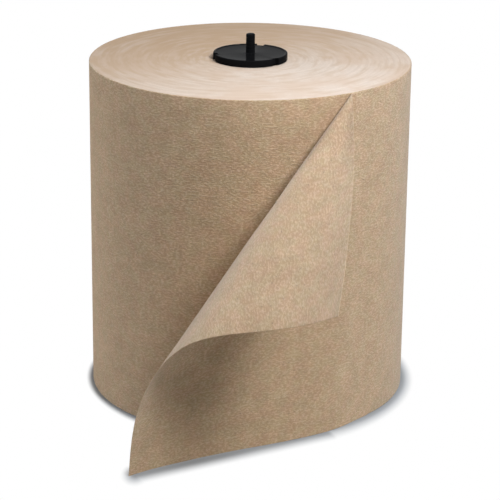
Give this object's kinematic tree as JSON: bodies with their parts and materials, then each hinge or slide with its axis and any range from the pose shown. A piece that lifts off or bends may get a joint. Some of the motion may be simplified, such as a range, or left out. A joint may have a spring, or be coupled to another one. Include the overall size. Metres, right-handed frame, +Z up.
{
  "type": "paper towel roll",
  "caption": "Brown paper towel roll on a card core with black end plugs, its loose tail standing out with the upper corner folded over.",
  "frame": {"origin": "on the roll's axis, in the plane of the lower end face", "axes": "+Z up along the roll's axis towards the stub, -Y to the front where the loose tail stands out, +X to the right seen from the front"},
  "size_m": [0.186, 0.2852, 0.211],
  "materials": {
    "paper": "matt, brown unbleached towel paper",
    "core": "matt grey-brown card",
    "plug": "black, satin to gloss"
  },
  "bodies": {
    "root": {"wound_web": "paper", "loose_tail": "paper", "core_tube": "core", "spindle_plug": "plug", "socket_plug": "plug"}
  },
  "joints": []
}
